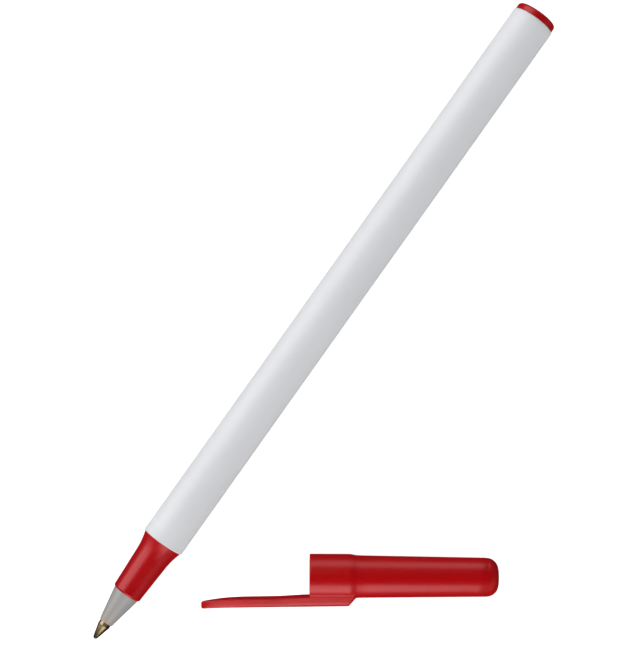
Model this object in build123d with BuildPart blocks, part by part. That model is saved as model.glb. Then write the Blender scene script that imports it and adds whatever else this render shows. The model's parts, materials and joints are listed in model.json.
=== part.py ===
from build123d import *
import math
import os

# Stick ballpoint pen lying on a table with its pull-off cap beside it.
# Millimetres, +Z up. The pen lies along X with its point towards -X.
# The origin is on the table, under the centre of the whole layout.

# ---------------------------------------------------------------- driving dimensions
pen_length = 145.0
barrel_diameter = 8.5
barrel_bore = 6.2
pen_side_offset = 26.3

# stations along the pen, measured from the front of the writing ball
lip_station = 0.28
socket_cone_end = 3.1
cone_front = 3.8
section_front = 10.5
section_edge_end = 11.1
flare_start = 18.5
barrel_front = 22.45
plug_front = 143.4

# writing ball and brass socket
ball_diameter = 0.8
seat_clearance = 0.015
lip_diameter = 0.88
socket_diameter = 2.34
socket_shank_diameter = 1.8
socket_shank_end = 9.0
capillary_diameter = 0.4
capillary_end = 2.0
socket_bore = 0.9

# grey nose cone
cone_front_diameter = 2.75
cone_base_diameter = 5.26
cone_shank_diameter = 4.4
cone_shank_end = 19.0
cone_channel = 1.0
tube_seat = 12.5

# red grip section
section_front_diameter = 5.8
section_waist_diameter = 6.6
flare_diameter = 8.1
spigot_length = 12.0
spigot_chamfer = 0.4

# barrel and end plug
barrel_edge_radius = 0.2
plug_diameter = 8.16
plug_spigot_length = 8.5
plug_cup_diameter = 4.6
plug_floor = 1.4
plug_crown = 0.25
plug_edge_radius = 0.55

# ink tube and ink
tube_outside = 3.0
tube_inside = 2.0
tube_end = 128.0
ink_front = 0.85
ink_end = 112.0

# cap
cap_length = 35.7
cap_mouth_station = 33.2
cap_mouth_side = 26.4
cap_turn = 54.9
collar_diameter = 8.5
collar_length = 8.8
cap_tube_diameter = 8.0
cap_end_diameter = 7.3
cap_end_radius = 2.2
mouth_bore = 6.9
mouth_bore_depth = 8.45
inner_bore = 6.0
inner_bore_end = 33.6
cap_edge_chamfer = 0.15
collar_step_length = 0.9

# pocket clip and the rib that carries it
clip_length = 20.5
clip_root_half_width = 2.65
clip_root_end = 4.2
clip_strip_start = 6.2
clip_half_width = 2.3
clip_tip_length = 9.0
clip_radius_at_mouth = 5.72
clip_slope = 0.018
clip_thickness = 1.33
rib_length = 7.45
rib_heel = 8.75

# ---------------------------------------------------------------- reference planes
barrel_radius = barrel_diameter / 2
ball_radius = ball_diameter / 2
seat_radius = ball_radius + seat_clearance

# pen plane: x runs from the point to the tail, y is the distance from the pen's axis
pen_plane = Plane(
    origin=(-pen_length / 2, pen_side_offset, barrel_radius),
    x_dir=(1, 0, 0),
    z_dir=(0, 0, 1),
)
pen_axis = Axis(pen_plane.origin, pen_plane.x_dir)

# cap plane: x runs from the cap's mouth to its closed end, the clip is on the -y side
cap_plane = Plane(
    origin=(
        cap_mouth_station - pen_length / 2,
        pen_side_offset - cap_mouth_side,
        barrel_radius,
    ),
    x_dir=(math.cos(math.radians(cap_turn)), -math.sin(math.radians(cap_turn)), 0),
    z_dir=(0, 0, 1),
)
cap_axis = Axis(cap_plane.origin, cap_plane.x_dir)

# the clip's side of the cap: x runs along the cap, y is up
clip_side = Plane(
    origin=cap_plane.origin, x_dir=cap_plane.x_dir, z_dir=-cap_plane.y_dir
)

os.makedirs("parts", exist_ok=True)


def clip_radius(station):
    """Distance from the cap's axis to the clip's outer surface at a station."""
    return clip_radius_at_mouth - clip_slope * station


# ---------------------------------------------------------------- writing ball
# The carbide ball turns freely in the socket. It stands out of the crimped lip.
with BuildPart() as writing_ball:
    with BuildSketch(pen_plane):
        with BuildLine():
            CenterArc((ball_radius, 0), ball_radius, 0, 180)
            Line((0, 0), (ball_diameter, 0))
        make_face()
    revolve(axis=pen_axis)

# ---------------------------------------------------------------- point socket
# Turned brass: a cone with a crimped lip round the ball, a short cylinder, and a
# shank that is pressed into the nose cone. The ink runs through it to the ball.
seat_lip = math.sqrt(seat_radius**2 - (ball_radius - lip_station) ** 2)
seat_rear = ball_radius + math.sqrt(seat_radius**2 - (capillary_diameter / 2) ** 2)
with BuildPart() as point_socket:
    with BuildSketch(pen_plane):
        with BuildLine():
            Polyline(
                (lip_station, seat_lip),
                (lip_station, lip_diameter / 2),
                (socket_cone_end, socket_diameter / 2),
                (cone_front, socket_diameter / 2),
                (cone_front, socket_shank_diameter / 2),
                (socket_shank_end, socket_shank_diameter / 2),
                (socket_shank_end, socket_bore / 2),
                (capillary_end, socket_bore / 2),
                (capillary_end, capillary_diameter / 2),
                (seat_rear, capillary_diameter / 2),
            )
            ThreePointArc(
                (seat_rear, capillary_diameter / 2),
                (ball_radius, seat_radius),
                (lip_station, seat_lip),
            )
        make_face()
    revolve(axis=pen_axis)

# ---------------------------------------------------------------- nose cone
# Its base sits against the front of the grip section, its shank is pressed into the
# section's bore, and the ink tube is pushed into its back.
with BuildPart() as nose_cone:
    with BuildSketch(pen_plane):
        with BuildLine():
            Polyline(
                (cone_front, socket_shank_diameter / 2),
                (cone_front, cone_front_diameter / 2),
                (section_front, cone_base_diameter / 2),
                (section_front, cone_shank_diameter / 2),
                (cone_shank_end, cone_shank_diameter / 2),
                (cone_shank_end, tube_outside / 2),
                (tube_seat, tube_outside / 2),
                (tube_seat, cone_channel / 2),
                (socket_shank_end, cone_channel / 2),
                (socket_shank_end, socket_shank_diameter / 2),
                close=True,
            )
        make_face()
    revolve(axis=pen_axis)

# ---------------------------------------------------------------- grip section
# A slightly tapered grip with a rounded front edge. It flares out to meet the barrel,
# and its spigot is pressed into the barrel's bore.
taper = (section_waist_diameter - section_front_diameter) / 2
taper_slope = taper / (flare_start - section_edge_end)
edge_middle = (
    section_front + 0.25 * (section_edge_end - section_front),
    cone_base_diameter / 2 + 0.33 * (section_front_diameter - cone_base_diameter),
)
spigot_end = barrel_front + spigot_length
with BuildPart() as grip_section:
    with BuildSketch(pen_plane):
        with BuildLine():
            Line(
                (section_front, cone_shank_diameter / 2),
                (section_front, cone_base_diameter / 2),
            )
            ThreePointArc(
                (section_front, cone_base_diameter / 2),
                edge_middle,
                (section_edge_end, section_front_diameter / 2),
            )
            Line(
                (section_edge_end, section_front_diameter / 2),
                (flare_start, section_waist_diameter / 2),
            )
            TangentArc(
                (flare_start, section_waist_diameter / 2),
                (barrel_front, flare_diameter / 2),
                tangent=(1, taper_slope),
            )
            Polyline(
                (barrel_front, flare_diameter / 2),
                (barrel_front, barrel_bore / 2),
                (spigot_end - spigot_chamfer, barrel_bore / 2),
                (spigot_end, barrel_bore / 2 - spigot_chamfer),
                (spigot_end, cone_shank_diameter / 2),
                (section_front, cone_shank_diameter / 2),
            )
        make_face()
    revolve(axis=pen_axis)

# ---------------------------------------------------------------- barrel
with BuildPart() as barrel:
    with BuildSketch(pen_plane):
        with BuildLine():
            Polyline(
                (barrel_front, barrel_bore / 2),
                (barrel_front, barrel_radius),
                (plug_front, barrel_radius),
                (plug_front, barrel_bore / 2),
                close=True,
            )
        make_face()
    revolve(axis=pen_axis)
    rims = barrel.edges().filter_by(GeomType.CIRCLE).sort_by(SortBy.RADIUS)[-2:]
    fillet(rims, radius=barrel_edge_radius)

# ---------------------------------------------------------------- end plug
# A crowned button with a hollow spigot that is pressed into the barrel.
plug_spigot_end = plug_front - plug_spigot_length
plug_cup_end = pen_length - plug_crown - plug_floor
with BuildPart() as end_plug:
    with BuildSketch(pen_plane) as plug_profile:
        with BuildLine():
            Polyline(
                (plug_cup_end, 0),
                (plug_cup_end, plug_cup_diameter / 2),
                (plug_spigot_end, plug_cup_diameter / 2),
                (plug_spigot_end, barrel_bore / 2 - spigot_chamfer),
                (plug_spigot_end + spigot_chamfer, barrel_bore / 2),
                (plug_front, barrel_bore / 2),
                (plug_front, plug_diameter / 2),
                (pen_length - plug_crown, plug_diameter / 2),
            )
            TangentArc(
                (pen_length, 0),
                (pen_length - plug_crown, plug_diameter / 2),
                tangent=(0, 1),
            )
            Line((pen_length, 0), (plug_cup_end, 0))
        make_face()
        crown_corner = plug_profile.vertices().group_by(Axis.Y)[-1].sort_by(Axis.X)[-1]
        fillet(crown_corner, radius=plug_edge_radius)
    revolve(axis=pen_axis)

# ---------------------------------------------------------------- ink tube and ink
with BuildPart() as ink_tube:
    with BuildSketch(pen_plane):
        with BuildLine():
            Polyline(
                (tube_seat, tube_inside / 2),
                (tube_seat, tube_outside / 2),
                (tube_end, tube_outside / 2),
                (tube_end, tube_inside / 2),
                close=True,
            )
        make_face()
    revolve(axis=pen_axis)

with BuildPart() as ink_column:
    with BuildSketch(pen_plane):
        with BuildLine():
            Polyline(
                (ink_front, 0),
                (ink_front, capillary_diameter / 2),
                (capillary_end, capillary_diameter / 2),
                (capillary_end, socket_bore / 2),
                (socket_shank_end, socket_bore / 2),
                (socket_shank_end, cone_channel / 2),
                (tube_seat, cone_channel / 2),
                (tube_seat, tube_inside / 2),
                (ink_end, tube_inside / 2),
                (ink_end, 0),
                close=True,
            )
        make_face()
    revolve(axis=pen_axis)

# ---------------------------------------------------------------- cap
# A collar round the mouth, as thick as the barrel, and a slimmer tube that tapers to
# the closed end. A rib on the collar carries the pocket clip. Inside, the mouth's bore
# slides over the grip section and the narrower bore takes the nose.
with BuildPart() as rib:
    with BuildSketch(cap_plane):
        with BuildLine():
            Polyline(
                (0, 0),
                (0, -clip_radius(0)),
                (rib_length, -clip_radius(rib_length)),
                (rib_heel, -collar_diameter / 2),
                (rib_heel, 0),
                close=True,
            )
        make_face()
    revolve(axis=cap_axis)
    with BuildSketch(clip_side):
        Rectangle(rib_heel, 2 * clip_root_half_width, align=(Align.MIN, Align.CENTER))
    extrude(amount=clip_radius_at_mouth, mode=Mode.INTERSECT)

with BuildPart() as cap:
    with BuildSketch(cap_plane):
        with BuildLine():
            Polyline(
                (0, 0),
                (0, collar_diameter / 2 - cap_edge_chamfer),
                (cap_edge_chamfer, collar_diameter / 2),
                (collar_length - collar_step_length, collar_diameter / 2),
                (collar_length, cap_tube_diameter / 2),
                (cap_length, cap_end_diameter / 2),
                (cap_length, 0),
                close=True,
            )
        make_face()
    revolve(axis=cap_axis)
    closed_end = cap.faces().filter_by(GeomType.PLANE).sort_by(cap_axis)[-1]
    fillet(closed_end.edges(), radius=cap_end_radius)
    add(rib.part)
    with BuildSketch(cap_plane):
        with BuildLine():
            Polyline(
                (0, 0),
                (0, mouth_bore / 2),
                (mouth_bore_depth, mouth_bore / 2),
                (mouth_bore_depth, inner_bore / 2),
                (inner_bore_end, inner_bore / 2),
                (inner_bore_end, 0),
                close=True,
            )
        make_face()
    revolve(axis=cap_axis, mode=Mode.SUBTRACT)

# ---------------------------------------------------------------- pocket clip
# A curved strip, wrapped round the same axis as the cap. It leaves the rib in the plane
# of the mouth, leans slightly outwards, and ends in a long rounded tip.
clip_tip_start = clip_length - clip_tip_length
with BuildPart() as pocket_clip:
    with BuildSketch(cap_plane):
        with BuildLine():
            Polyline(
                (0, -clip_radius(0)),
                (-clip_length, -clip_radius(-clip_length)),
                (-clip_length, clip_thickness - clip_radius(-clip_length)),
                (0, clip_thickness - clip_radius(0)),
                close=True,
            )
        make_face()
    revolve(axis=cap_axis)
    with BuildSketch(clip_side):
        with BuildLine():
            EllipticalCenterArc(
                (-clip_tip_start, 0), clip_tip_length, clip_half_width, 90, arc_size=180
            )
            Polyline(
                (-clip_tip_start, -clip_half_width),
                (-clip_strip_start, -clip_half_width),
                (-clip_root_end, -clip_root_half_width),
                (0, -clip_root_half_width),
                (0, clip_root_half_width),
                (-clip_root_end, clip_root_half_width),
                (-clip_strip_start, clip_half_width),
                (-clip_tip_start, clip_half_width),
            )
        make_face()
    extrude(amount=clip_radius_at_mouth + 1, mode=Mode.INTERSECT)

# ---------------------------------------------------------------- one file per piece
pieces = {
    "writing_ball": writing_ball,
    "point_socket": point_socket,
    "nose_cone": nose_cone,
    "grip_section": grip_section,
    "barrel": barrel,
    "end_plug": end_plug,
    "ink_tube": ink_tube,
    "ink_column": ink_column,
    "cap": cap,
    "pocket_clip": pocket_clip,
}
for name, piece in pieces.items():
    piece.part.label = name
    export_step(piece.part, f"parts/{name}.step")
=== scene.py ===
"""Looks of a stick ballpoint pen that lies beside its pull-off cap."""

import json
import math

import bmesh
import bpy
from mathutils import Matrix, Vector


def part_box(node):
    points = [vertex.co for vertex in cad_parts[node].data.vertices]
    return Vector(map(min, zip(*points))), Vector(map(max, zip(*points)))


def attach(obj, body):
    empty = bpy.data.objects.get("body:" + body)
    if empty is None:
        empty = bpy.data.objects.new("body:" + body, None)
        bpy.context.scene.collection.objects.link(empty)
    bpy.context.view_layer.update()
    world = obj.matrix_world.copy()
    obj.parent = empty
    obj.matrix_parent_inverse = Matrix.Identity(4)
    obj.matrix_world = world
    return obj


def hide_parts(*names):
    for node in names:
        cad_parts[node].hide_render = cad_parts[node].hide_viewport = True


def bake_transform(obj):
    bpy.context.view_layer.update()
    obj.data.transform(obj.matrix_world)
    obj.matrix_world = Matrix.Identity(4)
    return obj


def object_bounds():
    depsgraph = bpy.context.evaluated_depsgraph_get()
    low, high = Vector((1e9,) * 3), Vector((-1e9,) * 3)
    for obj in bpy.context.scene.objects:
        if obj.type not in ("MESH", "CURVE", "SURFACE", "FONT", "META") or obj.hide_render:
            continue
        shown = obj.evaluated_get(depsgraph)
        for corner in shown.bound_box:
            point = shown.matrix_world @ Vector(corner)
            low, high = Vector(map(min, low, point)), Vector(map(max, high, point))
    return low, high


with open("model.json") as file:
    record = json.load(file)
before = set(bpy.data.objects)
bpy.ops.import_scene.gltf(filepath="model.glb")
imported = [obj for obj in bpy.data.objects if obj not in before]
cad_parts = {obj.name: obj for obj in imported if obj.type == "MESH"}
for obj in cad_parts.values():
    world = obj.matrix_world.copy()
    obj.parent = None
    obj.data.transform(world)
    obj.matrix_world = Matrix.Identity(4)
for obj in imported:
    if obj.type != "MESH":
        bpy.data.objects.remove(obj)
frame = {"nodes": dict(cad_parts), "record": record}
cad_low, cad_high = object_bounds()

MM = 0.001
COLUMNS = 192  # faces round a turned piece
HOLD = 0.05  # mm from a rounded corner to the ring that keeps the flat beside it flat
LONGEST = 2.5  # mm, the longest face along a piece
CREASE = 32  # degrees, the bend from which an edge is shown sharp

# ---------------------------------------------------------------- places from the frame
barrel_low, barrel_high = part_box("barrel")
ball_low, ball_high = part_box("writing_ball")
plug_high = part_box("end_plug")[1]
PEN_AXIS = Vector((ball_low.x, (barrel_low.y + barrel_high.y) / 2, barrel_high.z / 2))
PEN_LENGTH = (plug_high.x - ball_low.x) / MM
BARREL_RADIUS = barrel_high.z / 2 / MM

mounts = {mount["name"]: mount for mount in frame["record"]["mounts"]}
CAP_OUT = Vector(mounts["cap_mouth"]["axis"]).normalized()
cap_on_axis = Vector(mounts["cap_mouth"]["pos_m"])
cap_reach = [(v.co - cap_on_axis).dot(CAP_OUT) for v in frame["nodes"]["cap"].data.vertices]
CAP_MOUTH = cap_on_axis + CAP_OUT * max(cap_reach)
CAP_LENGTH = (max(cap_reach) - min(cap_reach)) / MM
MOUTH_BORE = mounts["cap_mouth"]["dims"]["r_mm"]
MOUTH_BORE_DEPTH = mounts["cap_mouth"]["dims"]["length_mm"]
INNER_BORE = mounts["cap_inner_bore"]["dims"]["r_mm"]
INNER_BORE_END = MOUTH_BORE_DEPTH + mounts["cap_inner_bore"]["dims"]["length_mm"]


def frame_matrix(origin, along, up):
    """Takes millimetres (along, across, up) from an origin to the shared frame in metres."""
    across = up.cross(along)
    turn = Matrix((along, across, up)).transposed().to_4x4()
    return Matrix.Translation(origin) @ turn @ Matrix.Scale(MM, 4)


UP = Vector((0, 0, 1))
PEN_PLACE = frame_matrix(PEN_AXIS, Vector((1, 0, 0)), UP)
CAP_PLACE = frame_matrix(CAP_MOUTH, -CAP_OUT, UP)


# ---------------------------------------------------------------- profiles
def arc_points(start, middle, end, steps):
    """Points on the circle through three points, with both ends."""
    (ax, ay), (bx, by), (cx, cy) = start, middle, end
    d = 2 * (ax * (by - cy) + bx * (cy - ay) + cx * (ay - by))
    aa, bb, cc = ax * ax + ay * ay, bx * bx + by * by, cx * cx + cy * cy
    ux = (aa * (by - cy) + bb * (cy - ay) + cc * (ay - by)) / d
    uy = (aa * (cx - bx) + bb * (ax - cx) + cc * (bx - ax)) / d
    radius = math.hypot(ax - ux, ay - uy)
    first = math.atan2(ay - uy, ax - ux)
    turns = [math.atan2(y - uy, x - ux) - first for x, y in (middle, end)]
    turns = [turn % (2 * math.pi) for turn in turns]
    sweep = turns[1] if turns[0] < turns[1] else turns[1] - 2 * math.pi
    angles = [first + sweep * i / steps for i in range(steps + 1)]
    return [(ux + radius * math.cos(a), uy + radius * math.sin(a)) for a in angles]


def tangent_arc(start, end, slope, steps):
    """Points of the circle that leaves start at a slope and passes through end."""
    along = Vector((1, slope)).normalized()
    chord = Vector(end) - Vector(start)
    normal = Vector((-along.y, along.x))
    radius = chord.length_squared / (2 * chord.dot(normal))
    half = math.asin(chord.length / (2 * radius))
    bow = radius * (1 - math.cos(half))
    middle = (Vector(start) + Vector(end)) / 2 - Vector((-chord.y, chord.x)).normalized() * bow
    return arc_points(start, tuple(middle), end, steps)


def corner(before, at, after, radius, steps=8):
    """A rounded corner with a holding point on each side of it."""
    at = Vector(at)
    to_before = (Vector(before) - at).normalized()
    to_after = (Vector(after) - at).normalized()
    opening = to_before.angle(to_after)
    back = radius / math.tan(opening / 2)
    start, end = at + to_before * back, at + to_after * back
    bisector = (to_before + to_after).normalized()
    middle = at + bisector * (radius / math.sin(opening / 2) - radius)
    points = arc_points(tuple(start), tuple(middle), tuple(end), steps)
    return [tuple(start + to_before * HOLD), *points, tuple(end + to_after * HOLD)]


def rounded(outline, closed=True):
    """An outline of (station, radius, rounding) with its corners rounded."""
    points = []
    count = len(outline)
    for i, (station, radius, rounding) in enumerate(outline):
        inside = closed or 0 < i < count - 1
        if rounding and inside:
            before, after = outline[i - 1][:2], outline[(i + 1) % count][:2]
            points += corner(before, (station, radius), after, rounding)
        else:
            points.append((station, radius))
    return points


def divided(points, closed=True):
    """The same outline with its long straight stretches divided."""
    ends = points[1:] + points[:1] if closed else points[1:]
    result = []
    for start, end in zip(points, ends):
        length = math.dist(start, end)
        parts = max(1, math.ceil(length / LONGEST))
        for i in range(parts):
            share = i / parts
            result.append(tuple(a + (b - a) * share for a, b in zip(start, end)))
    return result if closed else result + [points[-1]]


# ---------------------------------------------------------------- meshes
def finish_mesh(name, mesh, place):
    """A shown object from a bmesh in millimetres."""
    bmesh.ops.remove_doubles(mesh, verts=mesh.verts, dist=1e-5)
    bmesh.ops.recalc_face_normals(mesh, faces=mesh.faces)
    data = bpy.data.meshes.new(name)
    mesh.to_mesh(data)
    mesh.free()
    data.transform(place)
    for polygon in data.polygons:
        polygon.use_smooth = True
    data.set_sharp_from_angle(angle=math.radians(CREASE))
    shown = bpy.data.objects.new(name, data)
    bpy.context.scene.collection.objects.link(shown)
    return shown


def lathe(name, outline, place, closed=True, columns=COLUMNS):
    """A turned piece: an outline of (station, radius) taken once round the axis."""
    mesh = bmesh.new()
    rings = []
    for station, radius in outline:
        if radius < 1e-6:
            rings.append([mesh.verts.new((station, 0, 0))] * columns)
            continue
        ring = []
        for i in range(columns):
            turn = 2 * math.pi * i / columns
            across, up = radius * math.cos(turn), radius * math.sin(turn)
            ring.append(mesh.verts.new((station, across, up)))
        rings.append(ring)
    pairs = list(zip(rings, rings[1:]))
    if closed:
        pairs.append((rings[-1], rings[0]))
    for first, second in pairs:
        bridge(mesh, first, second)
    return finish_mesh(name, mesh, place)


def bridge(mesh, first, second, around=True):
    """Faces between two rows of vertices; repeated vertices give triangles."""
    count = len(first)
    for i in range(count if around else count - 1):
        j = (i + 1) % count
        corners = list(dict.fromkeys((first[i], first[j], second[j], second[i])))
        if len(corners) > 2:
            mesh.faces.new(corners)


# ---------------------------------------------------------------- the pen's pieces
# Stations are millimetres from the front of the ball; the other values are radii or lengths.
BARREL_FRONT = (barrel_low.x - PEN_AXIS.x) / MM
BARREL_END = (barrel_high.x - PEN_AXIS.x) / MM
BARREL_BORE = 3.1
BARREL_RIM = 0.2
SPIGOT_CHAMFER = 0.4
SECTION_FRONT = 10.5
SECTION_FRONT_RADIUS = 2.63
SECTION_EDGE_MIDDLE = (10.65, 2.808)
SECTION_EDGE_END = (11.1, 2.9)
FLARE_START = (18.5, 3.3)
FLARE_SLOPE = 0.054  # where the flare leaves the straight taper
FLARE_RADIUS = 4.02
SECTION_SPIGOT_LENGTH = 12
CONE_FRONT = 3.8
CONE_FRONT_RADIUS = 1.375
CONE_SHANK = 2.2
CONE_SHANK_END = 19.0
TUBE_SEAT = 12.5
TUBE_SEAT_RADIUS = 1.5
CONE_CHANNEL = 0.5
SOCKET_LIP = 0.28
SOCKET_LIP_RADIUS = 0.44
SOCKET_CONE_END = 3.1
SOCKET_RADIUS = 1.17
SOCKET_SHANK = 0.9
SOCKET_SHANK_END = 9.0
SOCKET_BORE = 0.45
CAPILLARY = 0.2
CAPILLARY_END = 2.0
SEAT_CLEARANCE = 0.015
BALL_RADIUS = (ball_high.x - ball_low.x) / MM / 2
PLUG_RADIUS = 4.08
PLUG_CROWN = 0.25
PLUG_SHOULDER = 0.55
PLUG_FLOOR = 1.4
PLUG_CUP = 2.3
PLUG_SPIGOT_LENGTH = 8.5
SEAM = 0.06  # the fine groove where a red piece meets the barrel
UPRIGHT = 1e6  # the slope of a profile that leaves the axis at a right angle


def make_barrel():
    """The white tube, with a small radius on both rims."""
    outline = rounded(
        [
            (BARREL_FRONT, BARREL_BORE, 0.05),
            (BARREL_FRONT, BARREL_RADIUS, BARREL_RIM),
            (BARREL_END, BARREL_RADIUS, BARREL_RIM),
            (BARREL_END, BARREL_BORE, 0.05),
        ]
    )
    return lathe("barrel_shell", divided(outline), PEN_PLACE, columns=256)


def make_grip_section():
    """The red grip: rounded front edge, slight taper, flare, and a spigot in the barrel."""
    front = (SECTION_FRONT, SECTION_FRONT_RADIUS)
    edge = arc_points(front, SECTION_EDGE_MIDDLE, SECTION_EDGE_END, 10)
    flare_end = (BARREL_FRONT - SEAM, FLARE_RADIUS)
    flare = tangent_arc(FLARE_START, flare_end, FLARE_SLOPE, 18)
    spigot_end = BARREL_FRONT + SECTION_SPIGOT_LENGTH
    spigot = [
        (BARREL_FRONT, FLARE_RADIUS - SEAM / 2),
        (BARREL_FRONT, BARREL_BORE),
        (spigot_end - SPIGOT_CHAMFER, BARREL_BORE),
        (spigot_end, BARREL_BORE - SPIGOT_CHAMFER),
        (spigot_end, CONE_SHANK),
        (SECTION_FRONT, CONE_SHANK),
    ]
    return lathe("grip", divided(edge + flare + spigot), PEN_PLACE)


def make_nose_cone():
    """The smoky cone with its shank, which holds the brass point and the ink tube."""
    outline = rounded(
        [
            (CONE_FRONT, SOCKET_SHANK, 0),
            (CONE_FRONT, CONE_FRONT_RADIUS, 0.12),
            (SECTION_FRONT, SECTION_FRONT_RADIUS, 0),
            (SECTION_FRONT, CONE_SHANK, 0),
            (CONE_SHANK_END, CONE_SHANK, 0.15),
            (CONE_SHANK_END, TUBE_SEAT_RADIUS, 0),
            (TUBE_SEAT, TUBE_SEAT_RADIUS, 0),
            (TUBE_SEAT, CONE_CHANNEL, 0),
            (SOCKET_SHANK_END, CONE_CHANNEL, 0),
            (SOCKET_SHANK_END, SOCKET_SHANK, 0),
        ]
    )
    return lathe("cone", divided(outline), PEN_PLACE)


def make_point_socket():
    """The turned brass point: crimped lip, cone, short cylinder and shank."""
    seat = BALL_RADIUS + SEAT_CLEARANCE
    seat_lip = math.sqrt(seat**2 - (BALL_RADIUS - SOCKET_LIP) ** 2)
    seat_rear = BALL_RADIUS + math.sqrt(seat**2 - CAPILLARY**2)
    cup = arc_points((seat_rear, CAPILLARY), (BALL_RADIUS, seat), (SOCKET_LIP, seat_lip), 16)
    outside = rounded(
        [
            (SOCKET_LIP, seat_lip, 0),
            (SOCKET_LIP, SOCKET_LIP_RADIUS, 0),
            (SOCKET_CONE_END, SOCKET_RADIUS, 0.2),
            (CONE_FRONT, SOCKET_RADIUS, 0),
            (CONE_FRONT, SOCKET_SHANK, 0),
            (SOCKET_SHANK_END, SOCKET_SHANK, 0.08),
            (SOCKET_SHANK_END, SOCKET_BORE, 0),
            (CAPILLARY_END, SOCKET_BORE, 0),
            (CAPILLARY_END, CAPILLARY, 0),
            (seat_rear, CAPILLARY, 0),
        ],
        closed=False,
    )
    return lathe("brass_point", divided(cup[:-1] + outside[:-1]), PEN_PLACE, columns=128)


def make_ball():
    """The writing ball."""
    outline = arc_points((0, 0), (BALL_RADIUS, BALL_RADIUS), (2 * BALL_RADIUS, 0), 40)
    outline[0], outline[-1] = (0, 0), (2 * BALL_RADIUS, 0)
    return lathe("carbide_ball", outline, PEN_PLACE, closed=False, columns=80)


def make_end_plug():
    """The crowned stopper, with a hollow spigot in the barrel."""
    rim = PEN_LENGTH - PLUG_CROWN
    face = tangent_arc((PEN_LENGTH, 0), (rim, PLUG_RADIUS), UPRIGHT, 24)
    bend = corner((rim - 1, PLUG_RADIUS), (rim, PLUG_RADIUS), face[-4], PLUG_SHOULDER, 10)
    crowned = [p for p in reversed(face) if p[1] < bend[-1][1] - HOLD]
    spigot_end = BARREL_END - PLUG_SPIGOT_LENGTH
    inside = [
        (rim - PLUG_FLOOR, 0),
        (rim - PLUG_FLOOR, PLUG_CUP),
        (spigot_end, PLUG_CUP),
        (spigot_end, BARREL_BORE - SPIGOT_CHAMFER),
        (spigot_end + SPIGOT_CHAMFER, BARREL_BORE),
        (BARREL_END, BARREL_BORE),
        (BARREL_END, PLUG_RADIUS - SEAM),
        (BARREL_END + SEAM, PLUG_RADIUS),
    ]
    outline = inside + bend + crowned
    outline[-1] = (PEN_LENGTH, 0)
    return lathe("stopper", divided(outline, closed=False), PEN_PLACE, closed=False)


# ---------------------------------------------------------------- the cap with its clip
# Millimetres from the mouth: towards the closed end for the cap, past the mouth for the clip.
COLLAR_RADIUS = 4.25
TUBE_RADIUS = 4.0
END_RADIUS = 3.65
COLLAR_END = (7.5, 9.3)
END_ROUNDING = 2.2
CLIP_LENGTH = 20.5
CLIP_ROOT_HALF_WIDTH = 2.65
CLIP_ROOT_END = (0.0, 6.8)
CLIP_HALF_WIDTH = 2.3
CLIP_TIP_LENGTH = 9.0
CLIP_RADIUS = 5.72
CLIP_SLOPE = 0.018
CLIP_CURL = 0.12  # how far the clip's tip bends out
CLIP_CURL_LENGTH = 5
CLIP_BLUNT = 0.45  # the rounded last bit of the tip
CLIP_THINNING = 0.55  # how far that bit closes in thickness
CLIP_LEAN = 0.42  # how far the clip's walls lean in, per unit of height
CLIP_INNER = 4.35
RIB_LENGTH = 7.45
RIB_HEEL = 8.75
EDGE = 0.45  # rounding of the clip's edges
JOIN = 0.1  # rounding between the rib and the cap
STRIP_ANGLE = 33.2  # degrees from the clip's middle line to its widest edge, at the mouth
OVER_ANGLE = 20  # degrees, the even part over the clip
FOOT_ANGLE = 7.5  # degrees of skin beside the clip's foot
MOUTH_EDGE = 0.15
MOUTH_EDGE_STEPS = 5
MOUTH_EDGE_FADE = 8  # degrees over which that edge grows, beside the clip
GATE_RADIUS = 1.35  # the moulding mark in the middle of the closed end
GATE_STEP = 0.06
GATE_DEPTH = 0.18


def smooth_step(x, low, high):
    """0 below low and 1 above high, with an eased rise between them."""
    t = min(max((x - low) / (high - low), 0), 1)
    return t * t * (3 - 2 * t)


def smooth_min(a, b, width):
    """The smaller of two numbers, rounded where they are about equal."""
    share = min(max(0.5 + 0.5 * (b - a) / width, 0), 1)
    return b + (a - b) * share - width * share * (1 - share)


def cap_radius(x):
    """Outer radius of the collar and the tube behind it, without the closed end's rounding."""
    tube = TUBE_RADIUS + (END_RADIUS - TUBE_RADIUS) * max(x - COLLAR_END[1], 0) / (
        CAP_LENGTH - COLLAR_END[1]
    )
    return COLLAR_RADIUS + (tube - COLLAR_RADIUS) * smooth_step(x, *COLLAR_END)


def rib_top(x):
    """Height of the rib that carries the clip; its heel slants down to the tube."""
    if x <= RIB_LENGTH:
        return CLIP_RADIUS - CLIP_SLOPE * x
    fall = (CLIP_RADIUS - COLLAR_RADIUS) / (RIB_HEEL - RIB_LENGTH)
    return CLIP_RADIUS - CLIP_SLOPE * RIB_LENGTH - fall * (x - RIB_LENGTH)


def skin_radius(x, turn):
    """Outer radius of the cap at an angle from the clip's middle line."""
    base = cap_radius(x)
    if abs(turn) >= math.pi / 2:
        return base
    foot = CLIP_ROOT_HALF_WIDTH + CLIP_LEAN * COLLAR_RADIUS
    wall = foot / (abs(math.sin(turn)) + CLIP_LEAN)
    rib = smooth_min(rib_top(x), wall, EDGE)
    return -smooth_min(-base, -rib, JOIN)


def cap_turns():
    """Angles round the cap: even over the clip, close together at its walls."""
    over = [OVER_ANGLE * i / 14 for i in range(14)]
    walls = [OVER_ANGLE + (STRIP_ANGLE - OVER_ANGLE) * i / 26 for i in range(27)]
    half = over + walls
    strip = [-t for t in reversed(half[1:])] + half
    foot = [STRIP_ANGLE + FOOT_ANGLE * i / 15 for i in range(1, 16)]
    far = [foot[-1] + (180 - foot[-1]) * i / 60 for i in range(1, 60)]
    rest = foot + far + [180] + [360 - t for t in reversed(foot + far)]
    return [math.radians(t) for t in strip], [math.radians(t) for t in rest]


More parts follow.
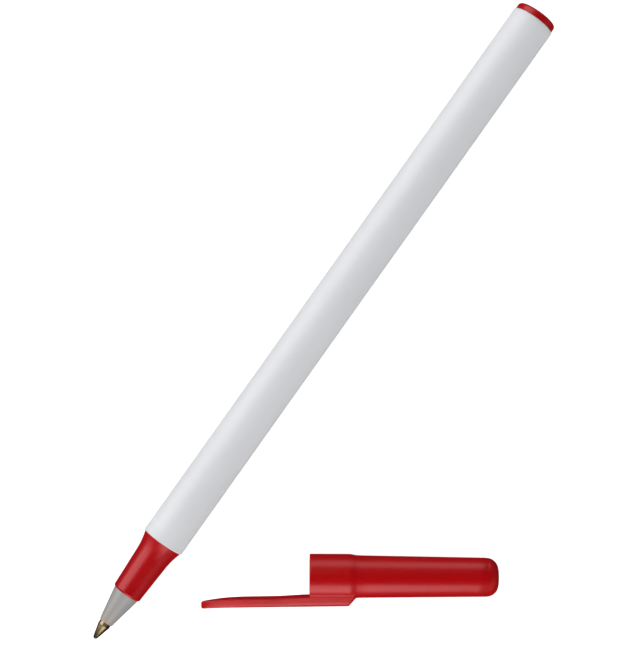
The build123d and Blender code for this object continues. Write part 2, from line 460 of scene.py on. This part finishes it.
def clip_section(strip):
    """The clip's cross-section at the mouth: (height, radius) of its outer and inner paths."""
    outer = []
    for turn in strip:
        radius = skin_radius(0, turn)
        outer.append((radius * math.sin(turn), radius))
    end_height, end_radius = outer[-1]
    rounding = end_radius - CLIP_INNER
    bend = 10
    half = []
    for i in range(bend + 1):
        turn = math.pi / 2 * i / bend
        half.append(
            (
                end_height - rounding * (1 - math.cos(turn)),
                end_radius - rounding * math.sin(turn),
            )
        )
    flat = len(strip) // 2 - bend
    for i in range(1, flat + 1):
        half.append(((end_height - rounding) * (1 - i / flat), CLIP_INNER))
    inner = [(-height, radius) for height, radius in half[:-1]] + list(reversed(half))
    return outer, inner


def at_turn(x, radius, turn):
    """A point of the cap at an angle from the clip's middle line."""
    return (x, -radius * math.cos(turn), radius * math.sin(turn))


def at_height(x, radius, height):
    """A point of the clip at a height above its middle line."""
    return (x, -math.sqrt(radius**2 - height**2), height)


def clip_stations():
    """(distance beyond the mouth, share of the width, share of the thickness) to the tip."""
    strip = CLIP_HALF_WIDTH / CLIP_ROOT_HALF_WIDTH
    tip_start = CLIP_LENGTH - CLIP_TIP_LENGTH
    steps = 40
    stations = []
    for i in range(1, steps + 1):
        reach = tip_start * i / steps
        width = 1 + (strip - 1) * smooth_step(reach, *CLIP_ROOT_END)
        stations.append((reach, width, 1))
    last = math.radians(88)
    for i in range(1, steps + 1):
        turn = last * i / steps
        reach = tip_start + CLIP_TIP_LENGTH * math.sin(turn) / math.sin(last)
        into_tip = max(reach - (CLIP_LENGTH - CLIP_BLUNT), 0) / CLIP_BLUNT
        thickness = math.sqrt(1 - CLIP_THINNING * into_tip**2)
        stations.append((reach, strip * math.cos(turn), thickness))
    return stations


def cap_stations():
    """Stations along the cap's outside, from the mouth to the closed end's rounding."""
    collar = [0.3, 0.6, 1.2, 2.2, 3.4, 4.6, 5.6, 6.2]
    heel = [6.6 + 0.08 * i for i in range(28)]
    start = heel[-1] + 0.2
    end = CAP_LENGTH - END_ROUNDING - HOLD
    count = math.ceil((end - start) / 1.8)
    tube = [start + (end - start) * i / count for i in range(count + 1)]
    return collar + heel + tube


def vertex_row(mesh, points):
    return [mesh.verts.new(point) for point in points]


def bridge_rows(mesh, rows):
    for first, second in zip(rows, rows[1:]):
        bridge(mesh, first, second)


def mouth_edge(turn):
    """Size of the mouth's rounded edge at an angle; there is none where the clip leaves."""
    away = min(turn, 2 * math.pi - turn) if turn > 0 else abs(turn)
    fade_end = STRIP_ANGLE + MOUTH_EDGE_FADE
    return MOUTH_EDGE * smooth_step(math.degrees(away), STRIP_ANGLE, fade_end)


def mouth_rows(mesh, turns):
    """The mouth's rounded edge, from its face to its side."""
    rows = []
    for step in range(MOUTH_EDGE_STEPS + 1):
        lean = math.pi / 2 * step / MOUTH_EDGE_STEPS
        points = []
        for turn in turns:
            size = mouth_edge(turn)
            x = size * (1 - math.cos(lean))
            drop = size * (1 - math.sin(lean))
            points.append(at_turn(x, skin_radius(x, turn) - drop, turn))
        rows.append(vertex_row(mesh, points))
    return rows


def closed_end():
    """Outline of the closed end: its rounding, then the moulding mark in its middle."""
    diagonal = math.pi / 4
    rounding = arc_points(
        (CAP_LENGTH - END_ROUNDING, END_RADIUS),
        (
            CAP_LENGTH - END_ROUNDING * (1 - math.sin(diagonal)),
            END_RADIUS - END_ROUNDING * (1 - math.cos(diagonal)),
        ),
        (CAP_LENGTH, END_RADIUS - END_ROUNDING),
        14,
    )
    gate = rounded(
        [
            (CAP_LENGTH, GATE_RADIUS, 0),
            (CAP_LENGTH, 0.95, 0.08),
            (CAP_LENGTH - GATE_DEPTH, 0.8, 0.06),
            (CAP_LENGTH - GATE_DEPTH, 0.3, 0.05),
            (CAP_LENGTH - GATE_STEP, 0.26, 0.04),
            (CAP_LENGTH - GATE_STEP, 0.1, 0),
        ],
        closed=False,
    )
    return rounding + gate


def outside_rows(mesh, turns):
    """The cap's skin, from its mouth to the middle of its closed end."""
    rows = mouth_rows(mesh, turns)
    for x in cap_stations():
        rows.append(vertex_row(mesh, [at_turn(x, skin_radius(x, turn), turn) for turn in turns]))
    for x, radius in closed_end():
        rows.append(vertex_row(mesh, [at_turn(x, radius, turn) for turn in turns]))
    pole = mesh.verts.new((CAP_LENGTH - GATE_STEP, 0, 0))
    return rows + [[pole] * len(turns)]


def inside_rows(mesh, turns):
    """The mouth bore, its step, the inner bore and its end."""
    bore = rounded(
        [
            (0, MOUTH_BORE + 0.3, 0),  # only gives the mouth's inner corner its direction
            (0, MOUTH_BORE, 0.1),
            (MOUTH_BORE_DEPTH, MOUTH_BORE, 0),
            (MOUTH_BORE_DEPTH, INNER_BORE, 0.1),
            (INNER_BORE_END, INNER_BORE, 0.5),
            (INNER_BORE_END, 1.2, 0),
        ],
        closed=False,
    )[1:]
    rows = []
    for x, radius in divided(bore, closed=False):
        rows.append(vertex_row(mesh, [at_turn(x, radius, turn) for turn in turns]))
    pole = mesh.verts.new((INNER_BORE_END, 0, 0))
    return rows + [[pole] * len(turns)]


def add_clip(mesh, paths, rows):
    """The clip past the mouth: its outer and inner paths, carried on from their first rows."""
    middle = (CLIP_RADIUS + CLIP_INNER) / 2
    for reach, width, thickness in clip_stations():
        curl = CLIP_CURL * smooth_step(reach, CLIP_LENGTH - CLIP_CURL_LENGTH, CLIP_LENGTH)
        lift = CLIP_SLOPE * reach + curl
        next_rows = []
        for path in paths:
            points = []
            for height, radius in path:
                grown = middle + (radius - middle) * thickness + lift
                points.append(at_height(-reach, grown, height * width))
            next_rows.append(vertex_row(mesh, points))
        for row, next_row in zip(rows, next_rows):
            bridge(mesh, row, next_row, around=False)
        rows = next_rows
    bridge(mesh, *rows, around=False)


def make_cap():
    """Cap and pocket clip as the one moulding they are."""
    mesh = bmesh.new()
    strip, rest = cap_turns()
    outside = outside_rows(mesh, strip + rest)
    inside = inside_rows(mesh, strip + rest)
    outer, inner = clip_section(strip)
    under_clip = vertex_row(mesh, [at_height(0, radius, height) for height, radius in inner])
    over_clip, beside_clip = outside[0][: len(strip)], outside[0][len(strip) :]
    bridge(mesh, inside[0], under_clip + beside_clip)
    add_clip(mesh, (outer, inner), (over_clip, under_clip))
    bridge_rows(mesh, outside)
    bridge_rows(mesh, inside)
    return finish_mesh("cap_and_clip", mesh, CAP_PLACE)


# ---------------------------------------------------------------- materials
# Bump heights are in metres; texture scales are per metre.
PEEL_HEIGHT = 0.00002
FLOW_HEIGHT = 0.000004
RING_HEIGHT = 0.000004
BRASS_SHOWS_TO = 7.5  # station to which the brass shank tints the cone
INK_AND_SHADE_FROM, INK_AND_SHADE_TO = 0.3, 2.6  # stations between which the brass clears of ink and of painted shade


class Nodes:
    """A material's node tree, with short calls for the nodes used here."""

    def __init__(self, name):
        self.material = bpy.data.materials.new(name)
        self.material.use_nodes = True
        self.tree = self.material.node_tree
        self.shader = self.tree.nodes["Principled BSDF"]
        self.place = self.add("ShaderNodeTexCoord").outputs["Object"]

    def add(self, kind, **settings):
        node = self.tree.nodes.new(kind)
        for name, value in settings.items():
            setattr(node, name, value)
        return node

    def link(self, source, target):
        self.tree.links.new(source, target)

    def set(self, **values):
        for name, value in values.items():
            self.shader.inputs[name.replace("_", " ")].default_value = value

    def mapped(self, scale=(1, 1, 1), turn=0.0):
        """Position in the shared frame, in axes turned about Z and scaled for a texture."""
        node = self.add("ShaderNodeMapping", vector_type="TEXTURE")
        node.inputs["Rotation"].default_value = (0, 0, turn)
        node.inputs["Scale"].default_value = [1 / s for s in scale]
        self.link(self.place, node.inputs["Vector"])
        return node.outputs["Vector"]

    def noise(self, where, scale, detail=3.0, roughness=0.5):
        node = self.add("ShaderNodeTexNoise")
        node.inputs["Scale"].default_value = scale
        node.inputs["Detail"].default_value = detail
        node.inputs["Roughness"].default_value = roughness
        self.link(where, node.inputs["Vector"])
        return node.outputs["Fac"]

    def ramp(self, value, stops):
        """Colours or greys at positions from 0 to 1."""
        node = self.add("ShaderNodeValToRGB")
        elements = node.color_ramp.elements
        while len(elements) < len(stops):
            elements.new(0.5)
        for element, (position, colour) in zip(elements, stops):
            element.position = position
            grey = isinstance(colour, (int, float))
            element.color = (colour, colour, colour, 1) if grey else (*colour, 1)
        self.link(value, node.inputs["Fac"])
        return node.outputs["Color"]

    def along_pen(self, start, end):
        """0 to 1 between two stations of the pen."""
        split = self.add("ShaderNodeSeparateXYZ")
        self.link(self.place, split.inputs["Vector"])
        reach = self.add("ShaderNodeMapRange")
        reach.inputs["From Min"].default_value = PEN_AXIS.x + start * MM
        reach.inputs["From Max"].default_value = PEN_AXIS.x + end * MM
        self.link(split.outputs["X"], reach.inputs["Value"])
        return reach.outputs["Result"]

    def bump(self, height, distance, under=None):
        node = self.add("ShaderNodeBump")
        node.inputs["Strength"].default_value = 1.0
        node.inputs["Distance"].default_value = distance
        self.link(height, node.inputs["Height"])
        if under:
            self.link(under, node.inputs["Normal"])
        return node.outputs["Normal"]


def drift_colour(n, low, high, turn=0.0):
    """A slow drift between two colours, drawn out along the moulding."""
    drift = n.noise(n.mapped((60, 160, 160), turn), 1.0, detail=2)
    n.link(n.ramp(drift, [(0.3, low), (0.7, high)]), n.shader.inputs["Base Color"])


def plastic(name, gloss, turn=0.0):
    """Moulded plastic without its colour: flow lines, fine scuffs and orange peel."""
    n = Nodes(name)
    scuffs = n.noise(n.mapped((500, 2600, 2600), turn), 1.0, detail=5, roughness=0.65)
    roughness = n.ramp(scuffs, [(0.25, gloss[0]), (0.75, gloss[1])])
    n.link(roughness, n.shader.inputs["Roughness"])
    peel = n.noise(n.mapped((700, 700, 700), turn), 1.0, detail=2)
    flow = n.noise(n.mapped((30, 2200, 2200), turn), 1.0, detail=4)
    normal = n.bump(flow, FLOW_HEIGHT, under=n.bump(peel, PEEL_HEIGHT))
    n.link(normal, n.shader.inputs["Normal"])
    return n


def white_plastic():
    n = plastic("white_plastic", (0.30, 0.40))
    drift_colour(n, (0.66, 0.672, 0.692), (0.685, 0.697, 0.717))
    n.set(Specular_IOR_Level=0.33, Subsurface_Weight=0.4, Subsurface_Scale=0.004)
    n.set(Subsurface_Radius=(1.0, 0.95, 0.9))
    return n.material


def red_plastic(name, red, turn=0.0):
    n = plastic(name, (0.26, 0.36), turn)
    drift_colour(n, (red - 0.02, 0.0016, 0.0034), (red + 0.02, 0.0024, 0.0044), turn)
    n.set(Specular_IOR_Level=0.66, Specular_Tint=(1.0, 0.5, 0.51, 1.0))
    return n.material


def smoke_plastic():
    """Smoky plastic, warmer towards the brass that shows through it."""
    n = plastic("smoke_plastic", (0.30, 0.42))
    n.set(Specular_IOR_Level=0.9, Transmission_Weight=0.1)
    tint = n.ramp(
        n.along_pen(CONE_FRONT, BRASS_SHOWS_TO),
        [(0.0, (0.37, 0.31, 0.26)), (0.45, (0.34, 0.32, 0.305)), (1.0, (0.335, 0.32, 0.317))],
    )
    n.link(tint, n.shader.inputs["Base Color"])
    return n.material


def brass():
    """Turned brass: fine tool rings, tarnish, and ink with painted shade towards the lip."""
    n = Nodes("brass")
    n.set(Metallic=1.0)
    rings = n.add("ShaderNodeTexWave", wave_type="BANDS", bands_direction="X")
    rings.inputs["Scale"].default_value = 2600
    rings.inputs["Distortion"].default_value = 0.4
    n.link(n.place, rings.inputs["Vector"])
    n.link(n.bump(rings.outputs["Fac"], RING_HEIGHT), n.shader.inputs["Normal"])
    tarnish = n.noise(n.mapped((900, 900, 900)), 1.0, detail=4)
    roughness = n.ramp(tarnish, [(0.3, 0.34), (0.7, 0.44)])
    n.link(roughness, n.shader.inputs["Roughness"])
    # The brass darkens towards the lip: ink there, together with painted shade.
    colour = n.ramp(
        n.along_pen(INK_AND_SHADE_FROM, INK_AND_SHADE_TO),
        [(0.0, (0.03, 0.025, 0.012)), (0.4, (0.13, 0.10, 0.045)), (1.0, (0.36, 0.27, 0.15))],
    )
    n.link(colour, n.shader.inputs["Base Color"])
    return n.material


def carbide():
    """The ball, with streaks of ink on it."""
    n = Nodes("carbide")
    n.set(Metallic=0.9)
    streaks = n.noise(n.mapped((1500, 5000, 1500)), 1.0, detail=4)
    n.link(
        n.ramp(streaks, [(0.35, (0.10, 0.09, 0.06)), (0.65, (0.20, 0.18, 0.13))]),
        n.shader.inputs["Base Color"],
    )
    n.link(n.ramp(streaks, [(0.3, 0.35), (0.7, 0.2)]), n.shader.inputs["Roughness"])
    return n.material


def clear_tube():
    n = plastic("clear_tube", (0.25, 0.35))
    drift_colour(n, (0.72, 0.72, 0.70), (0.78, 0.78, 0.76))
    n.set(Transmission_Weight=0.6, IOR=1.5)
    return n.material


def ink():
    n = plastic("ink", (0.08, 0.14))
    drift_colour(n, (0.12, 0.002, 0.004), (0.16, 0.003, 0.006))
    return n.material


def pale_floor(name, grey, glow):
    """A plain pale surface with some brightness of its own."""
    n = Nodes(name)
    n.set(Base_Color=(grey, grey, grey, 1), Roughness=0.9, Emission_Strength=glow)
    n.set(Emission_Color=(1, 1, 1, 1), Specular_IOR_Level=0.0)
    return n.material


def wear(shown, material):
    shown.data.materials.clear()
    shown.data.materials.append(material)


# ---------------------------------------------------------------- put the pieces together
PEN_RED, CAP_RED = 0.365, 0.405  # the red of each moulding
RED = red_plastic("red_plastic", PEN_RED)
CAP_TURN = math.atan2(CAP_OUT.y, CAP_OUT.x)

pen_pieces = (
    (make_barrel(), "barrel", "white_plastic", white_plastic()),
    (make_grip_section(), "grip_section", "red_plastic", RED),
    (make_nose_cone(), "nose_cone", "smoke_plastic", smoke_plastic()),
    (make_point_socket(), "point_socket", "brass", brass()),
    (make_end_plug(), "end_plug", "red_plastic", RED),
)
for piece, node, slot, material in pen_pieces:
    wear(piece, material)
    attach(piece, "pen_body")
    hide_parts(node)

ball = make_ball()
wear(ball, carbide())
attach(ball, "rolling_ball")
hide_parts("writing_ball")

cap = make_cap()
wear(cap, red_plastic("red_plastic_cap", CAP_RED, CAP_TURN))
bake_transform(cap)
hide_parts("cap", "pocket_clip")

wear(frame["nodes"]["ink_tube"], clear_tube())
wear(frame["nodes"]["ink_column"], ink())

# ---------------------------------------------------------------- floor, light and camera
CAMERA_TURN = math.radians(-54.6)
PICTURE_RIGHT = Vector((math.cos(CAMERA_TURN), math.sin(CAMERA_TURN), 0))
PICTURE_UP = UP.cross(PICTURE_RIGHT)
MIDDLE = (cad_low + cad_high) / 2


def stage_piece(name, mesh, material):
    """Floor or backdrop: seen by the camera, and left out of reflections."""
    data = bpy.data.meshes.new(name)
    mesh.to_mesh(data)
    mesh.free()
    piece = bpy.data.objects.new(name, data)
    bpy.context.scene.collection.objects.link(piece)
    wear(piece, material)
    piece.visible_glossy = False
    piece.visible_diffuse = False
    piece.visible_transmission = False
    return piece


STAGE_RADIUS = 4.0
FLOOR_GREY = 0.7
FLOOR_GLOW = 0.7
BACKDROP_GLOW = 1.0
BELOW_THE_PEN = 0.02 * MM
floor_mesh = bmesh.new()
bmesh.ops.create_circle(floor_mesh, cap_ends=True, segments=96, radius=STAGE_RADIUS)
floor = stage_piece("floor", floor_mesh, pale_floor("pale_floor", FLOOR_GREY, FLOOR_GLOW))
floor.location.z = cad_low.z - BELOW_THE_PEN

dome_mesh = bmesh.new()
bmesh.ops.create_uvsphere(dome_mesh, u_segments=96, v_segments=48, radius=STAGE_RADIUS)
dome = stage_piece("backdrop", dome_mesh, pale_floor("pale_backdrop", 0.0, BACKDROP_GLOW))
dome.visible_shadow = False

LAMP_DISTANCE = 0.9
# radiance of each light
KEY_LIGHT = 3.05
UPPER_LIGHT = 1.6
LOWER_LIGHT = 3.3
LOW_LIGHT = 2.6
SKY_LIGHT = 0.4


def softbox(name, azimuth, elevation, width, height, radiance, shiny=True):
    """A soft light. Azimuth is counted in the picture, from right towards up, in degrees."""
    a, e = math.radians(azimuth), math.radians(elevation)
    level = PICTURE_RIGHT * math.cos(a) + PICTURE_UP * math.sin(a)
    towards = level * math.cos(e) + UP * math.sin(e)
    light = bpy.data.lights.new(name, "AREA")
    light.shape = "RECTANGLE"
    light.size, light.size_y = width, height
    light.energy = radiance * math.pi * width * height
    lamp = bpy.data.objects.new(name, light)
    lamp.location = MIDDLE + towards * LAMP_DISTANCE
    lamp.rotation_mode = "QUATERNION"
    lamp.rotation_quaternion = towards.to_track_quat("Z", "Y")
    lamp.visible_camera = False
    lamp.visible_glossy = shiny
    bpy.context.scene.collection.objects.link(lamp)


softbox("key", 147, 33, 0.9, 0.95, KEY_LIGHT)
softbox("upper", 88, 13, 0.7, 0.65, UPPER_LIGHT)
softbox("lower", 252, 26, 0.8, 0.75, LOWER_LIGHT)
softbox("low", 318, 20, 1.0, 0.5, LOW_LIGHT, shiny=False)

# The sky lights from low down only: it fades towards the top, and isn't mirrored.
SKY_FULL_BELOW, SKY_DARK_ABOVE = 0.30, 0.75  # sines of the elevation
world = bpy.data.worlds.new("studio")
bpy.context.scene.world = world
world.use_nodes = True
sky = world.node_tree.nodes
direction = sky.new("ShaderNodeTexCoord")
parts = sky.new("ShaderNodeSeparateXYZ")
fade = sky.new("ShaderNodeMapRange")
fade.interpolation_type = "SMOOTHSTEP"
fade.inputs["From Min"].default_value = SKY_DARK_ABOVE
fade.inputs["From Max"].default_value = SKY_FULL_BELOW
world.node_tree.links.new(direction.outputs["Generated"], parts.inputs["Vector"])
world.node_tree.links.new(parts.outputs["Z"], fade.inputs["Value"])
world.node_tree.links.new(fade.outputs["Result"], sky["Background"].inputs["Color"])
sky["Background"].inputs["Strength"].default_value = SKY_LIGHT
world.cycles_visibility.glossy = False
world.cycles.sampling_method = "NONE"
bpy.context.scene.view_settings.view_transform = "Standard"

# The camera looks straight down, with its own up turned so that the pen points to the
# lower left.
CAMERA_HEIGHT = 0.37
OVER_THE_PEN = -8 * MM  # the camera stands nearer the point than the picture's middle
BESIDE_THE_PEN = -0.9 * MM
CAMERA_LENS, CAMERA_SENSOR = 106.94, 36  # mm
NEAREST_SEEN = 0.01  # metres, so that close views aren't cut
camera_data = bpy.data.cameras.new("camera")
camera_data.sensor_width = CAMERA_SENSOR
camera_data.lens = CAMERA_LENS
camera_data.clip_start = NEAREST_SEEN
view_width = CAMERA_HEIGHT * camera_data.sensor_width / camera_data.lens
camera_data.shift_x = -OVER_THE_PEN * PICTURE_RIGHT.x / view_width
camera_data.shift_y = -OVER_THE_PEN * PICTURE_UP.x / view_width
camera = bpy.data.objects.new("camera", camera_data)
camera.location = (
    PEN_AXIS.x + PEN_LENGTH / 2 * MM + OVER_THE_PEN,
    PEN_AXIS.y + BESIDE_THE_PEN,
    PEN_AXIS.z + CAMERA_HEIGHT,
)
camera.rotation_euler = (0, 0, CAMERA_TURN)
bpy.context.scene.collection.objects.link(camera)
bpy.context.scene.camera = camera
